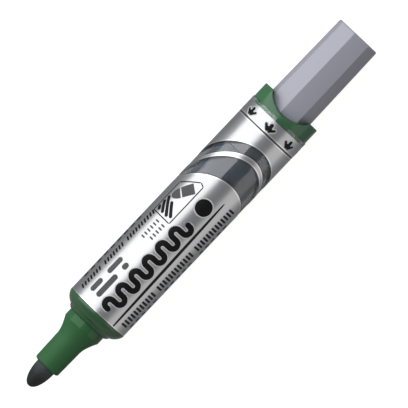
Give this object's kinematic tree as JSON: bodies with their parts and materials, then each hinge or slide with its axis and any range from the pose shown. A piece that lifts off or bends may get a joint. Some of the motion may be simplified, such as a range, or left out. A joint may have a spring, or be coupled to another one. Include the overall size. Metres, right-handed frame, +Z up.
{
  "type": "whiteboard marker",
  "caption": "Round push-button whiteboard marker, uncapped, lying flat: bullet tip, green nozzle and collar, clear ink tank in a silver windowed label, eight-sided pump button.",
  "frame": {"origin": "centre of the box's underside: on the line the barrel rests on, midway between the tip and the button's end", "axes": "+X along the marker's axis towards the push button, tip at -X, +Z up with the marker lying on its side"},
  "size_m": [0.12, 0.0178, 0.0178],
  "materials": {
    "nib": "pressed fibre, ink stained",
    "nozzle": "moulded, satin gloss",
    "seal_ring": "moulded, satin gloss",
    "shoulder": "moulded, satin gloss",
    "shoulder_o_ring": "satin",
    "barrel": "clear moulded polypropylene",
    "label": "metallised printed film",
    "ink": "liquid",
    "feed_wick": "bonded fibre",
    "collector": "moulded",
    "collector_o_ring": "satin",
    "tank_plug": "moulded",
    "tank_plug_o_ring": "satin",
    "valve_cage": "moulded",
    "valve_ball": "polished",
    "valve_spring": "drawn wire",
    "pump_post": "moulded",
    "cup_seal": "satin",
    "seal_retainer": "moulded",
    "return_spring": "drawn wire",
    "tail_collar": "moulded, satin gloss",
    "push_button": "moulded, satin"
  },
  "bodies": {
    "marker": {"nib": "nib", "nozzle": "nozzle", "seal_ring": "seal_ring", "shoulder": "shoulder", "shoulder_o_ring": "shoulder_o_ring", "barrel": "barrel", "label": "label", "ink": "ink", "feed_wick": "feed_wick", "collector": "collector", "collector_o_ring": "collector_o_ring", "tank_plug": "tank_plug", "tank_plug_o_ring": "tank_plug_o_ring", "valve_cage": "valve_cage", "valve_spring": "valve_spring", "pump_post": "pump_post", "cup_seal": "cup_seal", "seal_retainer": "seal_retainer", "return_spring": "return_spring", "tail_collar": "tail_collar"},
    "button": {"push_button": "push_button"},
    "check_valve": {"valve_ball": "valve_ball"}
  },
  "joints": [
    {"name": "button_press", "type": "slide", "parent": "marker", "child": "button", "axis": [-1, 0, 0], "range_m": [0, 0.006], "stiffness_N_per_m": 600, "springref_m": -0.003, "deforming": ["return_spring"]},
    {"name": "valve_lift", "type": "slide", "parent": "marker", "child": "check_valve", "axis": [-1, 0, 0], "range_m": [0, 0.0008], "stiffness_N_per_m": 20, "springref_m": -0.0005, "deforming": ["valve_spring"]}
  ]
}
